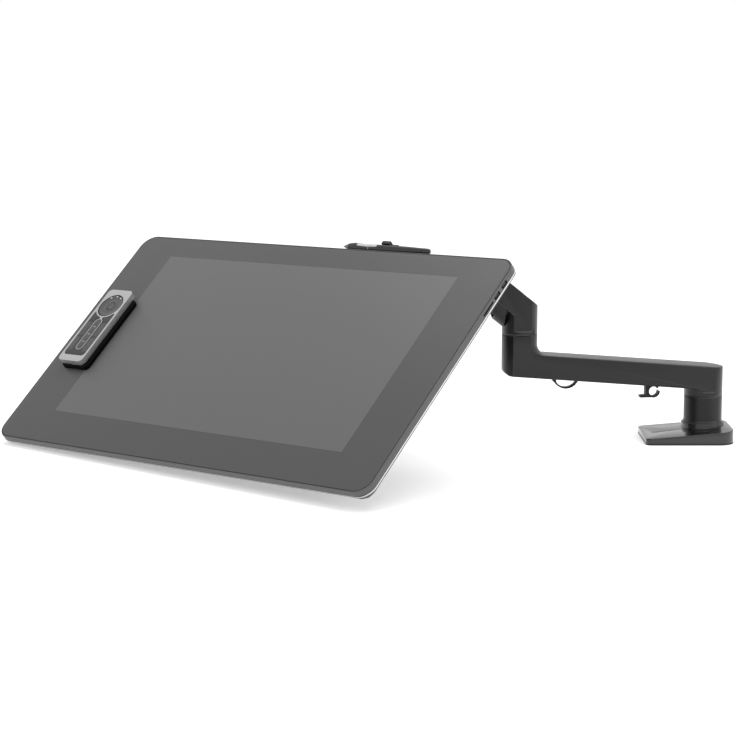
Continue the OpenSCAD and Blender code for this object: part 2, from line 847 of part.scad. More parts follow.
module rear_cover() {
    floor_z = -panel_d + cover_wall;
    color(grey) at_display() difference() {
        union() {
            difference() {
                cover_body(panel_w, panel_h, 0, -edge_t);
                cover_body(panel_w, panel_h, cover_wall, 1);
            }
            mount_spots() translate([0, 0, floor_z - 1]) cylinder(r = 5, h = 12);
            for (x = [-1, 1], y = [-1, 1]) {
                translate([x * (board_w / 2 - 8), y * 62, floor_z - 1]) cylinder(r = stand_r, h = board_z - floor_z + 1);
                translate([power_x + x * 18, power_y + y * 18, floor_z - 1])
                    cylinder(r = stand_r, h = board_z - floor_z + 1);
            }
        }
        mount_spots() translate([0, 0, -panel_d - 1]) cylinder(r = 2, h = 14);
        for (s = [-1, 1], i = [-5:5]) {
            reach = sqrt(fan_r * fan_r - i * i * 22);
            translate([s * fan_x - reach, fan_y + i * 4.7 - 1.1, -panel_d - 1]) cube([2 * reach, 2.2, 6]);
        }
        for (i = [-9:9]) translate([i * 11 - 2, panel_h / 2 - 62, -panel_d]) cube([4, 30, 24]);
        translate([-60, -panel_h / 2 + bulge_in - 20, board_z - 9.5]) cube([110, 21, 10]);
    }
}

module board(x, y, w, h, z, chips) {
    color("darkgreen") translate([x - w / 2, y - h / 2, z]) cube([w, h, board_t]);
    for (c = chips) color(black) translate([x + c[0] - c[2] / 2, y + c[1] - c[3] / 2, z + board_t - e])
        cube([c[2], c[3], c[4]]);
}

module main_board() {
    low = -panel_h / 2 + bulge_in + 2;
    top = 71;
    side = board_w / 4;
    at_display() board(0, (low + top) / 2, board_w, top - low, board_z, [[0, 40, 32, 32, 3], [side, 60, 22, 22, 1.6],
        [-side, 50, 24, 26, 2], [side + 8, -10, 14, 30, 4], [-side - 4, -8, 30, 12, 3]]);
}

module power_board() {
    at_display() board(power_x, power_y, 60, 50, board_z, [[-12, 8, 20, 18, 12], [16, -10, 14, 14, 9], [12, 14, 10, 8, 6]]);
}

module rear_ports() {
    y = -panel_h / 2 + bulge_in + 2;
    color(silver) at_display() for (i = [0:5]) {
        w = [15, 15, 16, 9, 9, 11][i];
        h = [5.6, 5.6, 6, 3.4, 3.4, 9][i];
        x = [-50, -31, -11, 7, 20, 40][i];
        translate([x, y, board_z - h]) difference() {
            translate([-w / 2, 0, 0]) cube([w, 16, h]);
            translate([-w / 2 + 0.7, -1, 0.7]) cube([w - 1.4, 14, h - 1.4]);
        }
    }
}

module side_ports() {
    color(silver) at_display() {
        for (y = usb_y) translate([panel_w / 2 - usb_depth + play, y, port_z]) difference() {
            translate([0, -usb_w / 2 + play, -usb_h / 2 + play])
                cube([usb_depth - 0.6, usb_w - 2 * play, usb_h - 2 * play]);
            translate([2, -usb_w / 2 + 0.5, -usb_h / 2 + 0.4]) cube([usb_depth, usb_w - 1, 2.1]);
            translate([2, -usb_w / 2 + 0.5, 0.4]) cube([usb_depth, usb_w - 1, 1.6]);
        }
        translate([panel_w / 2 - usb_depth + play, card_y, port_z]) difference() {
            translate([0, -card_w / 2 + play, -card_h / 2 + play])
                cube([usb_depth - 1.2, card_w - 2 * play, card_h - 2 * play]);
            translate([1, -card_w / 2 + 0.5, -card_h / 2 + 0.4]) cube([usb_depth, card_w - 1, card_h - 0.8]);
        }
    }
}

module fan_frames() {
    floor_z = -panel_d + cover_wall;
    color(black) at_display() for (s = [-1, 1]) translate([s * fan_x, fan_y, floor_z]) difference() {
        translate([-fan_half, -fan_half, 0]) cube([2 * fan_half, 2 * fan_half, fan_t]);
        difference() {
            translate([0, 0, -1]) cylinder(r = fan_r + 1.5, h = fan_t + 2);
            translate([0, 0, fan_t - 1.6]) cylinder(r = 9, h = 2);
            translate([-2, -40, fan_t - 1.6]) cube([4, 80, 2]);
            translate([-40, -2, fan_t - 1.6]) cube([80, 4, 2]);
            translate([0, 0, 2.2]) cylinder(r = 1.5 - play, h = fan_t);
        }
    }
}

module fan_rotor(s) {
    floor_z = -panel_d + cover_wall;
    color(dark) at_display() translate([s * fan_x, fan_y, floor_z + 1.2]) difference() {
        union() {
            cylinder(r = 11, h = 5.6);
            for (i = [0:8]) rotate([0, 0, i * 40]) translate([10, -0.8, 0.4]) rotate([24, 0, 0]) cube([15.4, 1.3, 4.6]);
        }
        translate([0, 0, 0.6]) cylinder(r = 1.5, h = 9);
    }
}

module fan_left() {
    fan_rotor(-1);
}

module fan_right() {
    fan_rotor(1);
}

module power_button() {
    color(black) at_display() translate([button_x, panel_h / 2, port_z]) {
        translate([-button_w / 2 + 0.2, -2.2, -button_h / 2 + 0.2]) cube([button_w - 0.4, 3, button_h - 0.4]);
    }
}

// Pen: its own frame has X from the tip to the tail
module at_pen() {
    at_display() translate([pen_start, pen_y, pen_lift]) children();
}

module pen_turned(points) {
    rotate([90, 0, 90]) rotate_extrude() polygon(points);
}

module pen_holder() {
    wall = 1.6;
    clip_r = pen_r + gap;
    color(black) at_pen() translate([holder_at, 0, 0]) difference() {
        union() {
            rotate([0, 90, 0]) cylinder(r = clip_r + wall, h = 14, center = true);
            translate([-7, -pen_out, -clip_r - wall]) cube([14, pen_out, clip_r + wall]);
            translate([-7, 0, -clip_r - wall]) cube([14, clip_r + wall, 4]);
            translate([-7, clip_r, -clip_r - wall]) cube([14, 5, clip_r + wall + 4]);
            translate([7, clip_r + 0.5, -3]) cube([12, 2.5, 3]);
        }
        rotate([0, 90, 0]) cylinder(r = clip_r, h = 60, center = true);
        translate([-30, -20, 0]) cube([60, 20 + clip_r, 20]);
        translate([-30, -40, -40]) cube([60, 40 - pen_out + 0.3, 80]);
    }
}

module pen_barrel() {
    start = pen_tip_l + grip_l;
    color(black) at_pen() difference() {
        pen_turned([[0, start], [pen_r - 0.8, start], [pen_r, start + 8], [pen_r - 0.4, pen_len - cap_l - 16],
            [pen_r - 1.1, pen_len - cap_l], [0, pen_len - cap_l]]);
        switch_slot(0);
    }
}

// Pocket for the rocker switch, across the grip and the barrel
module switch_slot(clear) {
    translate([switch_at + clear, -2.4 + clear, pen_r - 2.6]) cube([switch_l - 2 * clear, 4.8 - 2 * clear, 8]);
}

module pen_grip() {
    end = pen_tip_l + grip_l;
    color(dark) at_pen() difference() {
        pen_turned([[nib_r + play, 3], [2.2, 3], [4.4, pen_tip_l - 3], [pen_r + 0.7, pen_tip_l + 7],
            [pen_r + 0.3, end - 12], [pen_r - 0.8, end], [nib_r + play, end]]);
        switch_slot(0);
    }
}

module pen_tip() {
    color(grey) at_pen() pen_turned([[0, 0.4], [0.4, 0], [nib_r, 1.6], [nib_r, 20], [0, 20]]);
}

module pen_switch() {
    color(grey) at_pen() intersection() {
        translate([0, 0, 0.9]) switch_slot(0.3);
        pen_turned([[0, switch_at - 1], [pen_r + 0.9, switch_at + 3], [pen_r + 0.5, switch_at + switch_l / 2],
            [pen_r + 1, switch_at + switch_l - 3], [0, switch_at + switch_l + 1]]);
    }
}

module pen_cap() {
    start = pen_len - cap_l;
    color(dark) at_pen() pen_turned([[0, start], [pen_r - 1.1, start], [pen_r - 1.6, pen_len - 2],
        [pen_r - 3, pen_len], [0, pen_len]]);
}

// Remote: drawn over the glass, centred
module remote_holder() {
    color(black) at_remote() difference() {
        slab(remote_w - 6, remote_l - 6, remote_corner - 2, 0, holder_t);
        slab(remote_w - 22, remote_l - 40, 4, 1.5, holder_t + 1);
    }
}

module remote_shell() {
    low = holder_t;
    color(silver) at_remote() difference() {
        slab(remote_w, remote_l, remote_corner, low, low + remote_t);
        slab(remote_w - 2 * shell_wall, remote_l - 2 * shell_wall, remote_corner - 3, low + 1.2, low + remote_t - face_t);
        keypad_opening(0);
        translate([0, ring_y, low + 2]) cylinder(r = ring_r + 1, h = 20);
    }
}

// The opening in the remote's top that the key plate fills
module keypad_opening(clear) {
    w = remote_w - 2 * shell_wall - 2 * clear;
    top = ring_y - ring_r + 8;
    low = -remote_l / 2 + shell_wall + 7;
    difference() {
        translate([0, (top + low) / 2, holder_t + 2]) linear_extrude(20)
            round_rect(w, top - low - 2 * clear, 6);
        translate([0, ring_y, 0]) cylinder(r = ring_r + 3 + clear, h = 60);
    }
}

module remote_face() {
    low = face_top - face_t;
    color(black) at_remote() difference() {
        intersection() {
            keypad_opening(play);
            translate([-40, -80, low]) cube([80, 160, face_t]);
        }
        translate([0, group_y, low - 1]) linear_extrude(9) round_rect(group_w, group_l, group_w / 2 - e);
        for (s = [-1, 1], y = side_y) translate([s * side_x, y, low - 1])
            linear_extrude(9) round_rect(side_w, side_l, 2);
    }
}

module remote_ring() {
    low = holder_t + 2;
    color(dark) at_remote() translate([0, ring_y, 0]) difference() {
        translate([0, 0, low]) cylinder(r = ring_r + 1 - play, h = remote_t - 2.6);
        translate([0, 0, low - 1]) cylinder(r = button_r + key_gap, h = 20);
        translate([0, 0, holder_t + remote_t - 1.4]) rotate_extrude() translate([ring_r / 2 + 3.4, 2]) circle(4.4);
    }
}

module remote_board() {
    color("darkgreen") at_remote() slab(remote_w - 2 * shell_wall - 0.6, remote_l - 2 * shell_wall - 0.6,
        remote_corner - 3.4, holder_t + 1.2, holder_t + 2);
}

module remote_battery() {
    color(silver) at_remote() translate([0, -remote_l / 2 + 38, 0])
        slab(24, 44, 3, holder_t + 2, holder_t + 4.4);
}

module ring_button() {
    top = holder_t + remote_t - 0.6;
    color(dark) at_remote() translate([0, ring_y, top - key_t]) cylinder(r = button_r, h = key_t);
}

// A key of the middle group: the group's outline cut into four
module centre_key(i) {
    y = group_y + (1.5 - i) * group_key;
    clear = key_gap / 2;
    color(dark) at_remote() intersection() {
        translate([0, group_y, face_top + 0.5 - key_t]) linear_extrude(key_t)
            round_rect(group_w - 2 * clear, group_l - 2 * clear, group_w / 2 - clear - e);
        translate([-20, y - group_key / 2 + clear, 0]) cube([40, group_key - 2 * clear, 40]);
    }
}

module side_key(s, y) {
    color(black) at_remote() translate([s * side_x, y, face_top + 0.3 - key_t])
        linear_extrude(key_t) round_rect(side_w - key_gap, side_l - key_gap, 1.8);
}

base_plate();
base_pad();
base_screws();
pillar();
pillar_spindle();
pillar_washer();
lower_arm();
lower_arm_cover();
elbow_spindle();
elbow_washer();
loop_clip();
hook_clip();
shoulder();
shoulder_cover();
shoulder_pins();
upper_arm();
gas_spring();
lower_link();
head_bracket();
head_pins();
pan_yoke();
tilt_pin();
tilt_block();
mount_plate();
mount_screws();
front_glass();
screen_panel();
sensor_board();
chassis();
rim();
rear_cover();
main_board();
power_board();
rear_ports();
side_ports();
fan_frames();
fan_left();
fan_right();
power_button();
pen_holder();
pen_barrel();
pen_grip();
pen_tip();
pen_switch();
pen_cap();
remote_holder();
remote_shell();
remote_face();
remote_ring();
remote_board();
remote_battery();
ring_button();
centre_key(0);  // centre_key_1
centre_key(1);  // centre_key_2
centre_key(2);  // centre_key_3
centre_key(3);  // centre_key_4
side_key(-1, side_y[0]);  // side_key_1
side_key(-1, side_y[1]);  // side_key_2
side_key(1, side_y[0]);  // side_key_3
side_key(1, side_y[1]);  // side_key_4
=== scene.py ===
import json
import math

import bpy
from mathutils import Matrix, Vector


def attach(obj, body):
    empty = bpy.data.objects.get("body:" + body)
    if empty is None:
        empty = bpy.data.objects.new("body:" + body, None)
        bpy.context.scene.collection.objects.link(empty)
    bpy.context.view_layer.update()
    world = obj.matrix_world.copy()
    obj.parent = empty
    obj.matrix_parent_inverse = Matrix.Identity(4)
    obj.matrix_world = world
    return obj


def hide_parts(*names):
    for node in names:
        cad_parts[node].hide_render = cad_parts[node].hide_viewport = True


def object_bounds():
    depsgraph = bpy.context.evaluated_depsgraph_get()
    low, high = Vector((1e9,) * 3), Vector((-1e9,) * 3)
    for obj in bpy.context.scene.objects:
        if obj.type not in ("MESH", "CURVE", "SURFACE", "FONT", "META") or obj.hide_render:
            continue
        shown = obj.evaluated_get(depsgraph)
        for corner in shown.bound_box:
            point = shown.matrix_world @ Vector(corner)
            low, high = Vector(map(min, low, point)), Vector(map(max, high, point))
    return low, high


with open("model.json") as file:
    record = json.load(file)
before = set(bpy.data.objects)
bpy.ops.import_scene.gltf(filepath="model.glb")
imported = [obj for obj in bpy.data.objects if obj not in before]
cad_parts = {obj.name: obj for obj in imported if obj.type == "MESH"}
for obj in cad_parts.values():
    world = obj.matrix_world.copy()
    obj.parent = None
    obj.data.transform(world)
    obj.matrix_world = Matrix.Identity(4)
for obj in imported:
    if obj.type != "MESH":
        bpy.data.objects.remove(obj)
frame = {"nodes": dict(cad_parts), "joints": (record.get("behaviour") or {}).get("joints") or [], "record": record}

mm = 0.001
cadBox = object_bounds()
joints = {joint["name"]: joint for joint in frame["joints"]}
bodyOf = {node: body for body, nodes in frame["record"]["behaviour"]["bodies"].items() for node in nodes}
slotOf = {part["node"]: part["material_slot"] for part in frame["record"]["subparts"]}


def direction(joint, sign=1):
    return Vector(joints[joint]["axis"]).normalized() * sign


def frameFrom(origin, across, up, out):
    place = Matrix((across, up, out)).transposed().to_4x4()
    place.translation = origin
    return place


# the display's own frame: X across, Y to its top edge, Z out of the glass
panelX = direction("pen_tip_press")
panelOut = direction("head_rotate")
panelY = direction("power_press", -1)
panelFrame = frameFrom(Vector(joints["head_rotate"]["pos_m"]), panelX, panelY, panelOut)


def localBox(node, place):
    # a node's lowest and highest corner in another frame
    back = place.inverted()
    points = [back @ v.co for v in frame["nodes"][node].data.vertices]
    low = Vector([min(p[i] for p in points) for i in range(3)])
    high = Vector([max(p[i] for p in points) for i in range(3)])
    return low, high


print("frame read: display centre", [round(v, 4) for v in panelFrame.translation])


def pickOnly(*pieces):
    bpy.ops.object.select_all(action="DESELECT")
    for piece in pieces:
        piece.select_set(True)
    bpy.context.view_layer.objects.active = pieces[-1]


def editFaces(piece, test):
    # opens the piece in edit mode with only the faces that pass the test picked
    pickOnly(piece)
    bpy.ops.object.mode_set(mode="EDIT")
    bpy.ops.mesh.select_mode(type="FACE")
    bpy.ops.mesh.select_all(action="DESELECT")
    bpy.ops.object.mode_set(mode="OBJECT")
    for face in piece.data.polygons:
        face.select = test(face)
    bpy.ops.object.mode_set(mode="EDIT")


def editEdges(piece, test):
    pickOnly(piece)
    bpy.ops.object.mode_set(mode="EDIT")
    bpy.ops.mesh.select_mode(type="EDGE")
    bpy.ops.mesh.select_all(action="DESELECT")
    bpy.ops.object.mode_set(mode="OBJECT")
    points = piece.data.vertices
    for edge in piece.data.edges:
        edge.select = test(points[edge.vertices[0]].co, points[edge.vertices[1]].co)
    bpy.ops.object.mode_set(mode="EDIT")


def doneEditing():
    bpy.ops.object.mode_set(mode="OBJECT")


def named(name):
    piece = bpy.context.object
    piece.name = name
    piece.data.name = name
    return piece


def addBox(name, low, high):
    middle = [(a + b) / 2 for a, b in zip(low, high)]
    size = [b - a for a, b in zip(low, high)]
    bpy.ops.object.select_all(action="DESELECT")
    bpy.ops.mesh.primitive_cube_add(size=1, location=middle, scale=size)
    bpy.ops.object.transform_apply(location=True, rotation=True, scale=True)
    return named(name)


def isUpright(a, b):
    return abs(a.x - b.x) < 1e-6 and abs(a.y - b.y) < 1e-6


def addRoundPlate(name, low, high, corner, steps=10):
    # a box whose four upright edges are rounded
    piece = addBox(name, low, high)
    editEdges(piece, isUpright)
    bpy.ops.mesh.bevel(offset=corner, segments=steps, affect="EDGES")
    doneEditing()
    return piece


def addDisc(name, radius, low, high, sides=64):
    # a short cylinder that stands on Z, centred on the axis
    bpy.ops.object.select_all(action="DESELECT")
    bpy.ops.mesh.primitive_cylinder_add(vertices=sides, radius=radius, depth=high - low,
                                        location=(0, 0, (low + high) / 2))
    bpy.ops.object.transform_apply(location=True, rotation=True, scale=True)
    return named(name)


def addTurned(name, rings, sides=48):
    # a turned piece along Z, from (height, radius) pairs, made by extruding ring after ring
    bpy.ops.object.select_all(action="DESELECT")
    bpy.ops.mesh.primitive_circle_add(vertices=sides, radius=rings[0][1], fill_type="NGON",
                                      location=(0, 0, rings[0][0]))
    bpy.ops.object.transform_apply(location=True, rotation=True, scale=True)
    piece = named(name)
    bpy.ops.object.mode_set(mode="EDIT")
    bpy.ops.mesh.select_mode(type="FACE")
    bpy.ops.mesh.select_all(action="SELECT")
    for (height, radius), (newHeight, newRadius) in zip(rings, rings[1:]):
        bpy.ops.mesh.extrude_region_move(TRANSFORM_OT_translate={"value": (0, 0, newHeight - height)})
        grow = newRadius / radius
        bpy.ops.transform.resize(value=(grow, grow, 1), center_override=(0, 0, newHeight))
    bpy.ops.mesh.select_all(action="SELECT")
    bpy.ops.mesh.normals_make_consistent(inside=False)
    doneEditing()
    return piece


def softenEdges(piece, width, steps=2, angle=32):
    # every edge sharper than the angle gets a small round
    pickOnly(piece)
    round_ = piece.modifiers.new("softEdges", "BEVEL")
    round_.width = width
    round_.segments = steps
    round_.limit_method = "ANGLE"
    round_.angle_limit = math.radians(angle)
    round_.use_clamp_overlap = True
    bpy.ops.object.modifier_apply(modifier=round_.name)


def cutAway(piece, *cutters):
    for cutter in cutters:
        pickOnly(piece)
        cut = piece.modifiers.new("cut", "BOOLEAN")
        cut.operation = "DIFFERENCE"
        cut.solver = "EXACT"
        cut.object = cutter
        bpy.ops.object.modifier_apply(modifier=cut.name)
        bpy.data.objects.remove(cutter, do_unlink=True)


merge = {"distance": 0.004 * mm, "angle": 0.6}


def copyOfNode(node, name):
    # an own mesh of a CAD node, with its loose triangles merged to whole faces
    source = frame["nodes"][node]
    piece = source.copy()
    piece.data = source.data.copy()
    piece.name = name
    piece.data.name = name
    piece.parent = None
    piece.matrix_world = Matrix()
    bpy.context.scene.collection.objects.link(piece)
    pickOnly(piece)
    bpy.ops.object.mode_set(mode="EDIT")
    bpy.ops.mesh.select_all(action="SELECT")
    bpy.ops.mesh.remove_doubles(threshold=merge["distance"])
    bpy.ops.mesh.dissolve_limited(angle_limit=math.radians(merge["angle"]))
    doneEditing()
    piece.data.materials.clear()
    return piece


def putOn(piece, finish, nodes=(), body=None, place=None, smooth=32):
    # the last step of every piece: place, shading, finish, and what it rides on
    if place is not None:
        piece.data.transform(place)
    pickOnly(piece)
    bpy.ops.object.shade_smooth_by_angle(angle=math.radians(smooth))
    piece.data.materials.clear()
    piece.data.materials.append(finish)
    if nodes:
        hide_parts(*nodes)
    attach(piece, body or bodyOf[nodes[0]])
    return piece


def newGroup(name, inputs, outputs):
    group = bpy.data.node_groups.new(name, "ShaderNodeTree")
    for label, kind, value in inputs:
        socket = group.interface.new_socket(name=label, in_out="INPUT", socket_type=kind)
        if value is not None:
            socket.default_value = value
    for label, kind in outputs:
        group.interface.new_socket(name=label, in_out="OUTPUT", socket_type=kind)
    return group, group.nodes.new("NodeGroupInput"), group.nodes.new("NodeGroupOutput")


def joinUp(tree, fromSocket, toSocket):
    tree.links.new(fromSocket, toSocket)


def addMath(tree, kind, first, second=None, clamp=False):
    node = tree.nodes.new("ShaderNodeMath")
    node.operation = kind
    node.use_clamp = clamp
    for socket, value in zip(node.inputs, (first, second)):
        if value is None:
            continue
        if hasattr(value, "is_output"):
            tree.links.new(value, socket)
        else:
            socket.default_value = value
    return node.outputs[0]


def addNoise(tree, vector, scale, detail=3.0, rough=0.55):
    node = tree.nodes.new("ShaderNodeTexNoise")
    node.inputs["Detail"].default_value = detail
    node.inputs["Roughness"].default_value = rough
    tree.links.new(vector, node.inputs["Vector"])
    if hasattr(scale, "is_output"):
        tree.links.new(scale, node.inputs["Scale"])
    else:
        node.inputs["Scale"].default_value = scale
    return node.outputs[0]


grainRule = {"fine": 0.6, "pits": 0.5}
wearAndHighlightRule = {"samples": 4, "steep": 7.0, "breakScale": 160.0, "breakUp": 1.6}
smudgeRule = {"stretch": (1.0, 2.6, 1.4), "middle": 0.5}


def makeGrainGroup():
    # fine grain for bump, and slow clouds for colour
    floatKind = "NodeSocketFloat"
    group, given, out = newGroup("surfaceGrain",
                                 [("Vector", "NodeSocketVector", None), ("Grain Scale", floatKind, 900.0),
                                  ("Cloud Scale", floatKind, 9.0)],
                                 [("Cloud", floatKind), ("Height", floatKind), ("Fine", floatKind)])
    vector = given.outputs["Vector"]
    cloud = addNoise(group, vector, given.outputs["Cloud Scale"], 4.0, 0.6)
    fine = addNoise(group, vector, given.outputs["Grain Scale"], 2.0, 0.5)
    cells = group.nodes.new("ShaderNodeTexVoronoi")
    joinUp(group, vector, cells.inputs["Vector"])
    joinUp(group, given.outputs["Grain Scale"], cells.inputs["Scale"])
    pits = addMath(group, "MULTIPLY", cells.outputs["Distance"], grainRule["pits"])
    joinUp(group, cloud, out.inputs["Cloud"])
    joinUp(group, fine, out.inputs["Fine"])
    height = addMath(group, "ADD", addMath(group, "MULTIPLY", fine, grainRule["fine"]), pits)
    joinUp(group, height, out.inputs["Height"])
    return group


def makeEdgeGroup():
    # 1 on outer edges, broken up by noise, for rubbed paint and plastic, and for the painted edge highlights on
    # the arm
    floatKind = "NodeSocketFloat"
    group, given, out = newGroup("edgeWearAndPaintedHighlight",
                                 [("Vector", "NodeSocketVector", None), ("Radius", floatKind, 0.0012),
                                  ("Amount", floatKind, 0.6)],
                                 [("Mask", floatKind)])
    rounded = group.nodes.new("ShaderNodeBevel")
    rounded.samples = wearAndHighlightRule["samples"]
    joinUp(group, given.outputs["Radius"], rounded.inputs["Radius"])
    shape = group.nodes.new("ShaderNodeNewGeometry")
    compare = group.nodes.new("ShaderNodeVectorMath")
    compare.operation = "DOT_PRODUCT"
    joinUp(group, rounded.outputs["Normal"], compare.inputs[0])
    joinUp(group, shape.outputs["Normal"], compare.inputs[1])
    turn = addMath(group, "SUBTRACT", 1.0, compare.outputs["Value"])
    bend = addMath(group, "MULTIPLY", turn, wearAndHighlightRule["steep"], True)
    breakUp = addNoise(group, given.outputs["Vector"], wearAndHighlightRule["breakScale"], 4.0, 0.7)
    patches = addMath(group, "MULTIPLY", breakUp, wearAndHighlightRule["breakUp"], True)
    wornAndHighlit = addMath(group, "MULTIPLY", bend, patches)
    joinUp(group, addMath(group, "MULTIPLY", wornAndHighlit, given.outputs["Amount"], True), out.inputs["Mask"])
    return group


def makeSmudgeGroup():
    # fingerprints and wiped streaks that change only the gloss
    floatKind = "NodeSocketFloat"
    group, given, out = newGroup("smudges",
                                 [("Vector", "NodeSocketVector", None), ("Scale", floatKind, 14.0),
                                  ("Base", floatKind, 0.4), ("Spread", floatKind, 0.1)],
                                 [("Roughness", floatKind)])
    stretch = group.nodes.new("ShaderNodeMapping")
    stretch.inputs["Scale"].default_value = smudgeRule["stretch"]
    joinUp(group, given.outputs["Vector"], stretch.inputs["Vector"])
    patches = addNoise(group, stretch.outputs["Vector"], given.outputs["Scale"], 6.0, 0.65)
    centred = addMath(group, "SUBTRACT", patches, smudgeRule["middle"])
    swing = addMath(group, "MULTIPLY", centred, given.outputs["Spread"])
    joinUp(group, addMath(group, "ADD", swing, given.outputs["Base"], True), out.inputs["Roughness"])
    return group


grainGroup = makeGrainGroup()
edgeWearAndHighlightGroup = makeEdgeGroup()
smudgeGroup = makeSmudgeGroup()


def useGroup(tree, group, vector, **values):
    node = tree.nodes.new("ShaderNodeGroup")
    node.node_tree = group
    tree.links.new(vector, node.inputs["Vector"])
    for label, value in values.items():
        node.inputs[label.replace("_", " ")].default_value = value
    return node


def mixColors(tree, factor, first, second):
    mix = tree.nodes.new("ShaderNodeMix")
    mix.data_type = "RGBA"
    if hasattr(factor, "is_output"):
        tree.links.new(factor, mix.inputs["Factor"])
    else:
        mix.inputs["Factor"].default_value = factor
    for socket, value in ((mix.inputs[6], first), (mix.inputs[7], second)):
        if hasattr(value, "is_output"):
            tree.links.new(value, socket)
        else:
            socket.default_value = (*value, 1.0)
    return mix.outputs[2]


# the rubbed edge is the colour times rub plus rubLift
finishRule = {"rub": 1.8, "rubLift": 0.03, "bump": 0.35, "softSamples": 6}


def makeFinish(name, color, rough, metal=0.0, cloud=0.18, grainScale=900.0, grainDepth=0.02,
               edge=0.35, edgeColor=None, smudge=0.12, coat=0.0, coatRough=0.2, cloudScale=9.0,
               specular=0.5, paint=None, soft=0.0, edgeWide=1.2 * mm):
    # one Principled surface: clouded colour, rubbed edges (on the arm they are painted highlights), smudged gloss
    # and a fine bump
    material = bpy.data.materials.new(name)
    material.use_nodes = True
    tree = material.node_tree
    surface = tree.nodes["Principled BSDF"]
    where = tree.nodes.new("ShaderNodeTexCoord").outputs["Object"]
    grain = useGroup(tree, grainGroup, where, Grain_Scale=grainScale, Cloud_Scale=cloudScale)
    wearAndHighlight = useGroup(tree, edgeWearAndHighlightGroup, where, Amount=edge, Radius=edgeWide)
    gloss = useGroup(tree, smudgeGroup, where, Base=rough, Spread=smudge)
    darker = [c * (1 - cloud) for c in color]
    lighter = [min(1, c * (1 + cloud)) for c in color]
    shade = mixColors(tree, grain.outputs["Cloud"], darker, lighter)
    if paint:
        shade = paint(tree, where, shade)
    rubbedAndHighlitEdge = edgeColor or [min(1, c * finishRule["rub"] + finishRule["rubLift"]) for c in color]
    joinUp(tree, mixColors(tree, wearAndHighlight.outputs["Mask"], shade, rubbedAndHighlitEdge), surface.inputs["Base Color"])
    joinUp(tree, gloss.outputs["Roughness"], surface.inputs["Roughness"])
    surface.inputs["Metallic"].default_value = metal
    surface.inputs["Coat Weight"].default_value = coat
    surface.inputs["Coat Roughness"].default_value = coatRough
    surface.inputs["Specular IOR Level"].default_value = specular
    bump = tree.nodes.new("ShaderNodeBump")
    bump.inputs["Strength"].default_value = finishRule["bump"]
    bump.inputs["Distance"].default_value = grainDepth * mm
    joinUp(tree, grain.outputs["Height"], bump.inputs["Height"])
    if soft:
        rounded = tree.nodes.new("ShaderNodeBevel")  # sharp cast edges catch the light as if rounded
        rounded.samples = finishRule["softSamples"]
        rounded.inputs["Radius"].default_value = soft
        joinUp(tree, rounded.outputs["Normal"], bump.inputs["Normal"])
    joinUp(tree, bump.outputs["Normal"], surface.inputs["Normal"])
    return material


view = {"pitch": 9.0, "lens": 107.6, "sensor": 36, "far": 100, "side": -0.46325, "back": -2.99881,
        "height": 0.57003}


def makeCamera():
    bpy.ops.object.select_all(action="DESELECT")
    bpy.ops.object.camera_add(location=(view["side"], view["back"], view["height"]),
                              rotation=(math.radians(90 - view["pitch"]), 0, 0))
    camera = bpy.context.object
    camera.data.lens = view["lens"]
    camera.data.sensor_width = view["sensor"]
    camera.data.clip_end = view["far"]
    bpy.context.scene.camera = camera


light = {"sky": 0.88, "backdrop": 1.0,
         "top": 28, "topAt": (0.3, 0.2, 2.4), "topSize": (3.4, 1.2),
         "right": 10, "rightAt": (2.4, -0.9, 1.2), "rightSize": (1.6, 2.0),
         "floor": 0.9, "floorRough": 0.8, "floorWide": 60, "floorDown": 0.2 * mm, "glow": 0.34}


def addPanelLight(name, place, aim, size, power):
    bpy.ops.object.select_all(action="DESELECT")
    bpy.ops.object.light_add(type="AREA", location=place)
    lamp = bpy.context.object
    lamp.name = name
    lamp.data.shape = "RECTANGLE"
    lamp.data.size, lamp.data.size_y = size
    lamp.data.energy = power
    lamp.rotation_mode = "QUATERNION"
    lamp.rotation_quaternion = (Vector(aim) - Vector(place)).to_track_quat("-Z", "Y")


def makeStudio():
    world = bpy.data.worlds.new("studio")
    bpy.context.scene.world = world
    world.use_nodes = True
    tree = world.node_tree
    sky = tree.nodes["Background"]
    sky.inputs["Color"].default_value = (1, 1, 1, 1)
    sky.inputs["Strength"].default_value = light["sky"]
    backdrop = tree.nodes.new("ShaderNodeBackground")
    backdrop.inputs["Color"].default_value = (1, 1, 1, 1)
    backdrop.inputs["Strength"].default_value = light["backdrop"]
    path = tree.nodes.new("ShaderNodeLightPath")
    either = tree.nodes.new("ShaderNodeMixShader")
    joinUp(tree, path.outputs["Is Camera Ray"], either.inputs["Fac"])
    joinUp(tree, sky.outputs["Background"], either.inputs[1])
    joinUp(tree, backdrop.outputs["Background"], either.inputs[2])
    joinUp(tree, either.outputs["Shader"], tree.nodes["World Output"].inputs["Surface"])
    bpy.ops.object.select_all(action="DESELECT")
    bpy.ops.mesh.primitive_plane_add(size=light["floorWide"], location=(0, 0, -light["floorDown"]))
    floor = named("floor")
    material = bpy.data.materials.new("paleFloor")
    material.use_nodes = True
    surface = material.node_tree.nodes["Principled BSDF"]
    surface.inputs["Base Color"].default_value = (light["floor"],) * 3 + (1,)
    surface.inputs["Roughness"].default_value = light["floorRough"]
    surface.inputs["Emission Color"].default_value = (1, 1, 1, 1)
    surface.inputs["Emission Strength"].default_value = light["glow"]
    floor.data.materials.append(material)
    middle = (cadBox[0] + cadBox[1]) / 2
    for side in ("top", "right"):
        addPanelLight(side + "Light", middle + Vector(light[side + "At"]), middle,
                      light[side + "Size"], light[side])
    bpy.context.scene.view_settings.view_transform = "Standard"


makeCamera()
makeStudio()
print("camera and studio set")
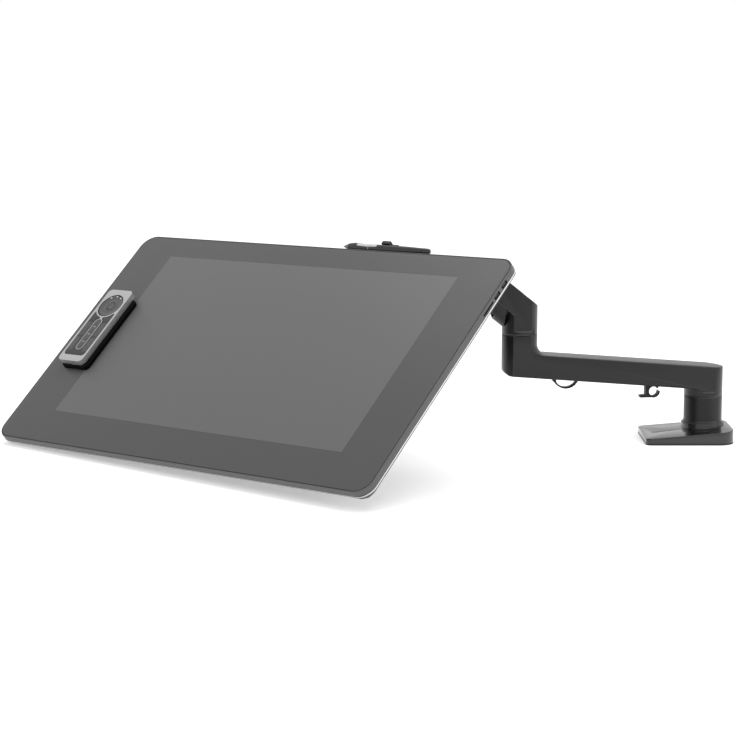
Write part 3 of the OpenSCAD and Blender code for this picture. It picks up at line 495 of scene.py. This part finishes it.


# the light edge colour over a wide edge band paints highlights along the arm's edges
armPaint = makeFinish("armPaint", (0.005, 0.005, 0.0054), 0.32, grainDepth=0.02, edge=0.8,
                      smudge=0.1, edgeColor=(0.12, 0.12, 0.12), specular=0.4, soft=3.2 * mm,
                      edgeWide=2.2 * mm)
headPaint = makeFinish("headPaint", (0.003, 0.003, 0.0032), 0.4, grainDepth=0.02, edge=0.4,
                       smudge=0.1, edgeColor=(0.03, 0.03, 0.03), specular=0.2, soft=2 * mm)
basePaint = makeFinish("basePaint", (0.008, 0.008, 0.0085), 0.2, grainDepth=0.008, edge=0.3,
                       smudge=0.06, coat=0.4, coatRough=0.12, edgeColor=(0.06, 0.06, 0.06),
                       soft=2.4 * mm)
blackPlastic = makeFinish("blackPlastic", (0.005, 0.005, 0.0055), 0.42, grainScale=1500,
                          grainDepth=0.05, edge=0.2, specular=0.35)
softRubber = makeFinish("softRubber", (0.016, 0.016, 0.016), 0.72, grainScale=700, grainDepth=0.12,
                        edge=0.15, specular=0.3)
plainSteel = makeFinish("plainSteel", (0.52, 0.52, 0.53), 0.3, metal=1.0, cloud=0.08,
                        grainDepth=0.01, edge=0.1, smudge=0.2)
bandPaint = makeFinish("bandPaint", (0.082, 0.082, 0.083), 0.36, specular=0.4, grainScale=1800,
                       grainDepth=0.02, edge=0.4, edgeColor=(0.26, 0.26, 0.26))
stripMetal = makeFinish("stripMetal", (0.7, 0.7, 0.7), 0.24, metal=0.8, cloud=0.05, grainScale=2400,
                        grainDepth=0.01, edge=0.3, smudge=0.1)
rearPlastic = makeFinish("rearPlastic", (0.075, 0.075, 0.078), 0.5, grainScale=1300,
                         grainDepth=0.06, edge=0.3)
boardGreen = makeFinish("boardGreen", (0.01, 0.07, 0.03), 0.4, cloud=0.3, cloudScale=60, edge=0.2)
remoteSilver = makeFinish("remoteSilver", (0.50, 0.50, 0.505), 0.34, metal=0.8, cloud=0.05,
                          grainScale=2200, grainDepth=0.012, edge=0.5, edgeColor=(0.8, 0.8, 0.8))
keyPlastic = makeFinish("keyPlastic", (0.055, 0.055, 0.056), 0.42, grainScale=1800, grainDepth=0.03,
                        edge=0.35, edgeColor=(0.2, 0.2, 0.2))
remoteBlack = makeFinish("remoteBlack", (0.028, 0.028, 0.029), 0.5, grainScale=1800,
                         grainDepth=0.03, edge=0.25)
deepBlack = makeFinish("deepBlack", (0.0015, 0.0015, 0.0015), 0.6, grainScale=900, grainDepth=0.04,
                       edge=0.1, specular=0.05, edgeColor=(0.006, 0.006, 0.006))
ringPlastic = makeFinish("ringPlastic", (0.066, 0.066, 0.067), 0.34, grainScale=2400,
                         grainDepth=0.01, edge=0.3, smudge=0.16)
penPlastic = makeFinish("penPlastic", (0.014, 0.014, 0.0145), 0.3, grainScale=1800, grainDepth=0.02,
                        edge=0.3)
penRubber = makeFinish("penRubber", (0.022, 0.022, 0.023), 0.5, grainScale=900, grainDepth=0.06,
                       edge=0.2)
penConeGrey = makeFinish("penConeGrey", (0.16, 0.16, 0.16), 0.36, grainScale=1800, grainDepth=0.02,
                         edge=0.3)
# the rocker's light grey colour paints the highlight on its glossy face
penSwitchGlossAndHighlight = makeFinish("penSwitchGlossAndHighlight", (0.55, 0.55, 0.56), 0.14, cloud=0.06,
                            grainDepth=0.005, edge=0.3, coat=0.6, coatRough=0.06)
nibPlastic = makeFinish("nibPlastic", (0.12, 0.12, 0.12), 0.5, grainScale=2500, grainDepth=0.02,
                        edge=0.2)
printWhite = makeFinish("printWhite", (0.72, 0.72, 0.72), 0.5, cloud=0.05, grainDepth=0.01,
                        edge=0.0)

screen = {"width": 522 * mm, "height": 294 * mm, "shiftX": 1.65 * mm, "shiftY": 8.9 * mm,
          "frame": 1.2 * mm, "off": (0.104, 0.104, 0.105), "border": (0.05, 0.05, 0.051)}


def paintScreen(tree, where, shade):
    # the active area under the glass and a thin dark frame round it, both found by their
    # distance from the screen's middle along the panel's own axes
    middle = panelFrame @ Vector((screen["shiftX"], screen["shiftY"], 0))

    def inside(axis, half):
        offset = tree.nodes.new("ShaderNodeVectorMath")
        offset.operation = "SUBTRACT"
        joinUp(tree, where, offset.inputs[0])
        offset.inputs[1].default_value = middle
        along = tree.nodes.new("ShaderNodeVectorMath")
        along.operation = "DOT_PRODUCT"
        joinUp(tree, offset.outputs["Vector"], along.inputs[0])
        along.inputs[1].default_value = axis
        return addMath(tree, "LESS_THAN", addMath(tree, "ABSOLUTE", along.outputs["Value"]), half)

    halfWide, halfTall = screen["width"] / 2, screen["height"] / 2
    area = addMath(tree, "MULTIPLY", inside(panelX, halfWide), inside(panelY, halfTall))
    frameArea = addMath(tree, "MULTIPLY", inside(panelX, halfWide + screen["frame"]),
                        inside(panelY, halfTall + screen["frame"]))
    bordered = mixColors(tree, frameArea, shade, screen["border"])
    return mixColors(tree, area, bordered, screen["off"])


etchedGlass = makeFinish("etchedGlass", (0.060, 0.060, 0.061), 0.42, cloud=0.05, cloudScale=4,
                         grainScale=2600, grainDepth=0.012, edge=0.25, smudge=0.08,
                         paint=paintScreen)

print("finishes made")


cornerSteps = 14  # faces round each corner of the display
glass = {"edge": 0.4 * mm, "corner": 19.7 * mm, "groove": 1.0 * mm, "grooveDeep": 1.6 * mm,
         "bedGap": 0.1 * mm, "bedDown": 0.3 * mm}


def makeGlass():
    # the glass stops short of the band, and a black bed shows in the groove between them
    low, high = localBox("front_glass", panelFrame)
    rimLow, rimHigh = localBox("rim", panelFrame)
    inset = Vector((1, 1, 0)) * (band["lip"] + glass["groove"])
    inLow, inHigh = rimLow + inset, rimHigh - inset
    piece = addRoundPlate("screenGlass", (inLow.x, inLow.y, low.z), (inHigh.x, inHigh.y, high.z),
                          glass["corner"], cornerSteps)
    softenEdges(piece, glass["edge"], 3)
    putOn(piece, etchedGlass, ["front_glass"], place=panelFrame)
    reach = glass["groove"] - glass["bedGap"]
    bed = addRoundPlate("glassBed", (inLow.x - reach, inLow.y - reach, low.z - glass["bedDown"]),
                        (inHigh.x + reach, inHigh.y + reach, high.z - glass["grooveDeep"]),
                        glass["corner"] + reach, cornerSteps)
    putOn(bed, deepBlack, body="display", place=panelFrame)


clear = 0.01  # how far a cutter reaches past what it cuts
band = {"corner": 22 * mm, "lip": 1.3 * mm, "topRound": 0.9 * mm, "ledge": 12 * mm,
        "stripDeep": 2.2 * mm, "stripLean": 0.6 * mm, "stripCorner": 20 * mm}
# each opening: how far down from the row's top its middle is, its width and its height
ports = {"deep": 5.2 * mm, "cutDeep": 12 * mm, "cutRound": 0.5 * mm, "insertRound": 0.15 * mm,
         "tongue": 0.9 * mm, "tongueWide": 8 * mm, "tongueDown": 0.5 * mm, "tongueEnd": 6 * mm,
         "tongueUnder": 0.1 * mm, "wellDown": 0.7 * mm, "wellEnd": 11 * mm,
         "openings": [(6.5 * mm, 13 * mm, 5.2 * mm), (25.5 * mm, 13 * mm, 5.2 * mm),
                      (48.5 * mm, 25.5 * mm, 3.0 * mm)]}


def cutInner(piece, low, high, inset, corner):
    # opens a plate from front to back, leaving a frame
    cutAway(piece, addRoundPlate("inner", (low.x + inset, low.y + inset, low.z - clear),
                                 (high.x - inset, high.y - inset, high.z + clear), corner))


def makeBand():
    low, high = localBox("rim", panelFrame)
    piece = addRoundPlate("edgeBand", low, high, band["corner"], cornerSteps)
    softenEdges(piece, band["topRound"], 4, 60)
    lip = band["lip"]
    glassBack = localBox("front_glass", panelFrame)[0].z
    cutAway(piece, addRoundPlate("pocket", (low.x + lip, low.y + lip, glassBack),
                                 (high.x - lip, high.y - lip, clear), band["corner"] - lip,
                                 cornerSteps))
    cutInner(piece, low, high, band["ledge"], band["corner"] - band["ledge"])
    rowTop = localBox("side_ports", panelFrame)[1].y
    for number, (down, width, tall) in enumerate(ports["openings"]):
        middle = rowTop - down
        cutter = addBox(f"portCut{number}",
                        (high.x - ports["cutDeep"], middle - width / 2, -tall / 2 - ports["deep"]),
                        (high.x + clear, middle + width / 2, tall / 2 - ports["deep"]))
        softenEdges(cutter, ports["cutRound"], 2)
        cutAway(piece, cutter)
    putOn(piece, bandPaint, ["rim"], place=panelFrame)


def makeStrip():
    # the light metal bevel behind the band
    low, high = localBox("rim", panelFrame)
    back = low.z - band["stripDeep"]
    piece = addRoundPlate("bevelStrip", (low.x, low.y, back), (high.x, high.y, low.z),
                          band["stripCorner"], cornerSteps)
    editFaces(piece, lambda face: face.normal.z < -0.9)
    size = high - low
    lean = 2 * band["stripLean"]
    bpy.ops.transform.resize(value=(1 - lean / size.x, 1 - lean / size.y, 1),
                             center_override=(low + high) / 2)
    doneEditing()
    inset = band["ledge"] / 2
    cutInner(piece, Vector((low.x, low.y, back)), high, inset, band["corner"] - inset)
    putOn(piece, stripMetal, body="display", place=panelFrame)


def makePortInserts():
    # black port housings, a grey tongue in each of the first two, and a dark well behind each opening
    piece = copyOfNode("side_ports", "portInserts")
    softenEdges(piece, ports["insertRound"], 2, 40)
    putOn(piece, deepBlack, ["side_ports"])
    edge = localBox("rim", panelFrame)[1].x
    rowTop = localBox("side_ports", panelFrame)[1].y
    level = -ports["deep"]
    for number in range(2):
        middle = rowTop - ports["openings"][number][0]
        half = ports["tongueWide"] / 2
        tongue = addBox(f"portTongue{number}",
                        (edge - ports["tongueEnd"], middle - half, level - ports["tongueUnder"]),
                        (edge - ports["tongueDown"], middle + half, level + ports["tongue"]))
        softenEdges(tongue, ports["insertRound"], 2)
        putOn(tongue, bandPaint, body="display", place=panelFrame)
    for number, (down, width, tall) in enumerate(ports["openings"]):
        middle = rowTop - down
        well = addBox(f"portWell{number}",
                      (edge - ports["wellEnd"], middle - width / 2, level - tall / 2),
                      (edge - ports["wellDown"], middle + width / 2, level + tall / 2))
        putOn(well, deepBlack, body="display", place=panelFrame)


rear = {"round": 0.7 * mm, "angle": 28}


def makeRear():
    piece = copyOfNode("rear_cover", "rearShell")
    softenEdges(piece, rear["round"], 2, rear["angle"])
    putOn(piece, rearPlastic, ["rear_cover"])


makeGlass()
makeBand()
makeStrip()
makePortInserts()
makeRear()
print("display made")


remoteLow, remoteHigh = localBox("remote_shell", panelFrame)
remoteMiddle = (remoteLow + remoteHigh) / 2
remoteFrame = panelFrame @ Matrix.Translation((remoteMiddle.x, remoteMiddle.y, 0))
# the tray's reach past the remote on the right and below paints the remote's drop shadow
remote = {"corner": 7 * mm, "cornerRound": 0.8 * mm, "faceRound": 0.25 * mm,
          "groove": 0.35 * mm, "grooveAt": 0.52, "grooveReach": 3 * mm,
          "holderIn": 3 * mm, "trayShadowRight": 7.0 * mm, "trayShadowBelow": 3.2 * mm, "holderTop": 9 * mm,
          "holderGap": 0.1 * mm, "holderRound": 0.8 * mm}


def makeRemoteFrame():
    piece = copyOfNode("remote_shell", "remoteFrame")
    piece.data.transform(remoteFrame.inverted())
    softenEdges(piece, remote["cornerRound"], 3, 40)
    low, high = localBox("remote_shell", remoteFrame)
    level = low.z + (high.z - low.z) * remote["grooveAt"]
    reach = remote["grooveReach"]
    cutter = addRoundPlate("groove", (low.x - reach, low.y - reach, level),
                           (high.x + reach, high.y + reach, level + remote["groove"]),
                           remote["corner"] + reach)
    cutInner(cutter, low, high, remote["groove"], remote["corner"] - remote["groove"])
    cutAway(piece, cutter)
    putOn(piece, remoteSilver, ["remote_shell"], place=remoteFrame)


def makeHolder():
    # the black tray that the remote rests in, a little wider on the right and below, where it paints the remote's
    # drop shadow
    low, high = localBox("remote_shell", remoteFrame)
    piece = addRoundPlate("remoteTrayAndShadow", (low.x + remote["holderIn"], low.y - remote["trayShadowBelow"], 0),
                          (high.x + remote["trayShadowRight"], high.y - remote["holderTop"],
                           low.z - remote["holderGap"]), remote["corner"])
    softenEdges(piece, remote["holderRound"], 3)
    putOn(piece, deepBlack, ["remote_holder"], place=remoteFrame)


def makeFace():
    piece = copyOfNode("remote_face", "keypadFace")
    softenEdges(piece, remote["faceRound"], 2, 40)
    putOn(piece, remoteBlack, ["remote_face"])


keys = {"round": 0.35 * mm, "line": 0.9 * mm, "gap": 0.25 * mm, "lineDown": 0.6 * mm, "lineUp": 0.35 * mm,
        "lineRound": 0.12 * mm, "cornerShare": 0.98, "inner": 0.2 * mm, "innerCorner": 0.18 * mm,
        "neckHalf": 2.2 * mm, "neckFrom": 0.6 * mm, "neckTo": 4.8 * mm, "neckUnder": 0.05 * mm,
        "neckRound": 0.2 * mm, "markHalf": 2.6 * mm, "markTall": 0.45 * mm, "markDown": 0.5 * mm,
        "markUp": 0.1 * mm, "markRound": 0.15 * mm}


def makeKeys():
    # the keys, a silver line round the middle four, and a light mark between each two
    middleKeys = [f"centre_key_{n}" for n in (1, 2, 3, 4)]
    for node in middleKeys + [f"side_key_{n}" for n in (1, 2, 3, 4)]:
        piece = copyOfNode(node, node.replace("_", "") + "Cap")
        softenEdges(piece, keys["round"], 3, 40)
        putOn(piece, keyPlastic, [node])
    boxes = [localBox(node, remoteFrame) for node in middleKeys]
    low = Vector([min(box[0][i] for box in boxes) for i in range(3)])
    high = Vector([max(box[1][i] for box in boxes) for i in range(3)])
    wide, inner = keys["line"] + keys["gap"], keys["inner"]
    half = (high.x - low.x) / 2
    top = localBox("remote_face", remoteFrame)[1].z
    outer = addRoundPlate("keyOutline", (low.x - wide, low.y - wide, top - keys["lineDown"]),
                          (high.x + wide, high.y + wide, top + keys["lineUp"]),
                          half + wide * keys["cornerShare"])
    cutAway(outer, addRoundPlate("inner", (low.x - inner, low.y - inner, top - clear),
                                 (high.x + inner, high.y + inner, top + clear),
                                 half + keys["innerCorner"]))
    softenEdges(outer, keys["lineRound"], 2, 40)
    putOnFrame(outer, remoteSilver, remoteFrame)
    neck = addBox("outlineNeck", (-keys["neckHalf"], high.y + keys["neckFrom"], top - keys["lineDown"]),
                  (keys["neckHalf"], high.y + keys["neckTo"], top + keys["lineUp"] - keys["neckUnder"]))
    softenEdges(neck, keys["neckRound"], 2)
    putOnFrame(neck, remoteSilver, remoteFrame)
    for number in range(1, 4):
        y = high.y - number * (high.y - low.y) / 4
        mark = addBox(f"keyMark{number}",
                      (-keys["markHalf"], y - keys["markTall"], high.z - keys["markDown"]),
                      (keys["markHalf"], y + keys["markTall"], high.z + keys["markUp"]))
        softenEdges(mark, keys["markRound"], 2)
        putOnFrame(mark, remoteSilver, remoteFrame)


def putOnFrame(piece, finish, place):
    # a small trim piece on the remote's bright frame
    putOn(piece, finish, body="remote", place=place)


# profile rows in mm: how far below the top, and how far inside the outer radius (rim),
# beyond the well (dish), or inside the button's radius (buttonRows)
ringAt = {"hole": 20.4 * mm, "radius": 18.9 * mm, "well": 6.9 * mm, "button": 6.3 * mm, "centre": 0.5 * mm,
          "rim": [(0.5, 0), (0.12, 0.15), (0, 0.6), (0.05, 2.2), (0.75, 3.6), (1.0, 6)],
          "dish": [(0.7, 2.4), (0.2, 1), (0.25, 0.3), (1.8, 0)], "centreDown": 1.85 * mm,
          "grooveDown": 1.6 * mm, "grooveIn": 1 * mm,
          "buttonRows": [(0.5, 0), (0.1, 0.25), (0, 0.9), (0.35, 2.6)], "buttonCentre": 0.6 * mm,
          "buttonDown": 0.5 * mm, "marks": (-35, 0, 30), "markHalf": 1.2 * mm, "markFrom": 2.3 * mm,
          "markTo": 0.7 * mm, "markDown": 0.2 * mm, "markUp": 0.25 * mm, "markRound": 0.1 * mm}


def makeRing():
    low, high = localBox("remote_ring", remoteFrame)
    middle = (low + high) / 2
    place = remoteFrame @ Matrix.Translation((middle.x, middle.y, 0))
    top, out = high.z, ringAt["radius"]
    rows = [(low.z, out)] + [(top - down * mm, out - inward * mm) for down, inward in ringAt["rim"]]
    rows += [(top - down * mm, ringAt["well"] + beyond * mm) for down, beyond in ringAt["dish"]]
    ring = addTurned("touchRing", rows + [(top - ringAt["centreDown"], ringAt["centre"])], 96)
    putOn(ring, ringPlastic, ["remote_ring"], place=place)
    # a near-black ring down in the groove paints the shade between the touch ring and the face
    floorLevel = top - ringAt["grooveDown"]
    groove = addTurned("ringGroove", [(low.z, ringAt["hole"]), (floorLevel, ringAt["hole"]),
                                      (floorLevel, out - ringAt["grooveIn"])], 96)
    putOn(groove, deepBlack, body="remote", place=place)
    buttonLow, buttonHigh = localBox("ring_button", remoteFrame)
    radius, buttonTop = ringAt["button"], buttonHigh.z
    rows = [(buttonLow.z, radius)]
    rows += [(buttonTop - down * mm, radius - inward * mm) for down, inward in ringAt["buttonRows"]]
    rows += [(buttonTop - ringAt["buttonDown"], ringAt["buttonCentre"])]
    putOn(addTurned("ringButtonCap", rows, 64), ringPlastic, ["ring_button"], place=place)
    for number, angle in enumerate(ringAt["marks"]):
        mark = addBox(f"ringMark{number}",
                      (-ringAt["markHalf"], out - ringAt["markFrom"], top - ringAt["markDown"]),
                      (ringAt["markHalf"], out - ringAt["markTo"], top + ringAt["markUp"]))
        softenEdges(mark, ringAt["markRound"], 2)
        putOnFrame(mark, printWhite, place @ Matrix.Rotation(math.radians(-angle), 4, "Z"))


makeRemoteFrame()
makeHolder()
makeFace()
makeKeys()
makeRing()
print("remote made")


# the pen's own frame: Z runs from its tip to its tail, X out of the glass
penStart = localBox("pen_tip", panelFrame)[0].x
capLow, capHigh = localBox("pen_cap", panelFrame)
tipEnd = Vector((penStart, (capLow.y + capHigh.y) / 2, (capLow.z + capHigh.z) / 2))
penFrame = panelFrame @ frameFrom(tipEnd, Vector((0, 0, 1)), Vector((0, -1, 0)), Vector((1, 0, 0)))
# rows in mm: how far from the tip, and the radius there; the switch box is in mm too
pen = {"cone": [(3, 1.3), (3.2, 1.9), (6, 2.9), (10, 4.3), (10.8, 4.5)],
       "grip": [(10.8, 4.3), (11, 4.6), (13, 5.0), (19, 5.75), (24, 6.0), (30, 5.9), (38, 5.4),
                (46.6, 4.8)],
       "barrel": [(47, 4.7), (49, 4.95), (53, 5.2), (60, 5.3), (95, 5.15), (112, 4.9), (126, 4.5),
                  (139, 4.1)],
       "cap": [(140, 4.1), (140.4, 4.25), (146, 4.0), (148.4, 3.6), (149.6, 2.6), (150, 1.4)],
       "nib": [(0, 0.35), (0.15, 0.6), (1.2, 0.85), (6, 0.9)],
       "collar": [(46.4, 4.6), (46.5, 4.85), (47.1, 4.85), (47.2, 4.6)],
       "switchLow": (3.2, -2.1, 27.3), "switchHigh": (6.6, 2.1, 61.7), "switchCorner": 1.9 * mm,
       "switchRound": 1.1 * mm, "slotGap": 0.25 * mm,
       "waist": 5.6 * mm, "waistHalf": 6 * mm, "waistOut": 11.3 * mm, "waistAt": 44.5 * mm, "smooth": 50}


def addPenPart(name, rows, sides=48):
    return addTurned(name, [(along * mm, radius * mm) for along, radius in rows], sides)


def addSwitchBox(name, grow):
    low, high = pen["switchLow"], pen["switchHigh"]
    piece = addBox(name, [v * mm - grow for v in low], [v * mm + grow for v in high])
    editEdges(piece, lambda a, b: abs(a.x - b.x) > 1e-4)
    bpy.ops.mesh.bevel(offset=pen["switchCorner"], segments=6, affect="EDGES")
    doneEditing()
    return piece


def makePen():
    for name, node, rows, finish in (("penGrip", "pen_grip", pen["grip"], penRubber),
                                     ("penBarrel", "pen_barrel", pen["barrel"], penPlastic),
                                     ("penCap", "pen_cap", pen["cap"], penPlastic)):
        piece = addPenPart(name, rows)
        if name != "penCap":
            cutAway(piece, addSwitchBox("slot", pen["slotGap"]))
        putOn(piece, finish, [node], place=penFrame, smooth=pen["smooth"])
    cone = addPenPart("penCone", pen["cone"])
    putOn(cone, penConeGrey, body="pen", place=penFrame, smooth=pen["smooth"])
    putOn(addPenPart("penNib", pen["nib"], 24), nibPlastic, ["pen_tip"], place=penFrame)
    collar = addPenPart("penCollar", pen["collar"])
    cutAway(collar, addSwitchBox("slot", pen["slotGap"]))
    putOn(collar, plainSteel, body="pen", place=penFrame)
    switch = addSwitchBox("penRocker", 0)
    softenEdges(switch, pen["switchRound"], 4)
    # a waist between the rocker's two ends
    waist = addDisc("waist", pen["waist"], -pen["waistHalf"], pen["waistHalf"])
    quarter = Matrix.Rotation(math.radians(90), 4, "X")
    waist.data.transform(Matrix.Translation((pen["waistOut"], 0, pen["waistAt"])) @ quarter)
    cutAway(switch, waist)
    putOn(switch, penSwitchGlossAndHighlight, ["pen_switch"], place=penFrame, smooth=pen["smooth"])


makePen()
print("pen made")


# how wide each casting's edges are rounded
castings = {"lower_arm": 2.4 * mm, "shoulder": 2.4 * mm, "upper_arm": 2.4 * mm, "lower_link": 0.8 * mm,
            "head_bracket": 1.6 * mm, "pan_yoke": 1.2 * mm, "tilt_block": 1.2 * mm, "mount_plate": 0.8 * mm,
            "pillar": 1.0 * mm}
headPieces = ("head_bracket", "pan_yoke", "tilt_block", "mount_plate")
mouldings = ("loop_clip", "hook_clip", "shoulder_cover", "lower_arm_cover", "pen_holder")
edgesOf = {"base": 1.4 * mm, "moulding": 0.5 * mm, "angle": 30}


def makeCastings():
    for node, width in castings.items():
        piece = copyOfNode(node, node.replace("_", "") + "Casting")
        softenEdges(piece, width, 3, edgesOf["angle"])
        putOn(piece, headPaint if node in headPieces else armPaint, [node])


def makeBase():
    piece = copyOfNode("base_plate", "basePlateCasting")
    softenEdges(piece, edgesOf["base"], 3, edgesOf["angle"])
    putOn(piece, basePaint, ["base_plate"])


def makeClips():
    for node in mouldings:
        piece = copyOfNode(node, node.replace("_", "") + "Moulding")
        softenEdges(piece, edgesOf["moulding"], 2, edgesOf["angle"])
        putOn(piece, blackPlastic, [node])


makeCastings()
makeBase()
makeClips()
print("arm made")


finishOf = {"arm_paint": armPaint, "base_paint": basePaint, "cover_plastic": blackPlastic,
            "clip_plastic": blackPlastic, "pad_rubber": softRubber, "steel": plainSteel,
            "screen_glass": etchedGlass, "screen_panel": blackPlastic, "board_green": boardGreen,
            "sheet_metal": plainSteel, "edge_metal": bandPaint, "rear_plastic": rearPlastic,
            "port_metal": plainSteel, "fan_plastic": blackPlastic, "pen_body": penPlastic,
            "pen_rubber": penRubber, "pen_switch": penSwitchGlossAndHighlight, "nib": nibPlastic,
            "remote_frame": remoteSilver, "remote_black": remoteBlack, "remote_ring": ringPlastic,
            "key_plastic": keyPlastic}

for node, piece in frame["nodes"].items():
    for slot in piece.material_slots:
        slot.material = finishOf[slotOf[node]]
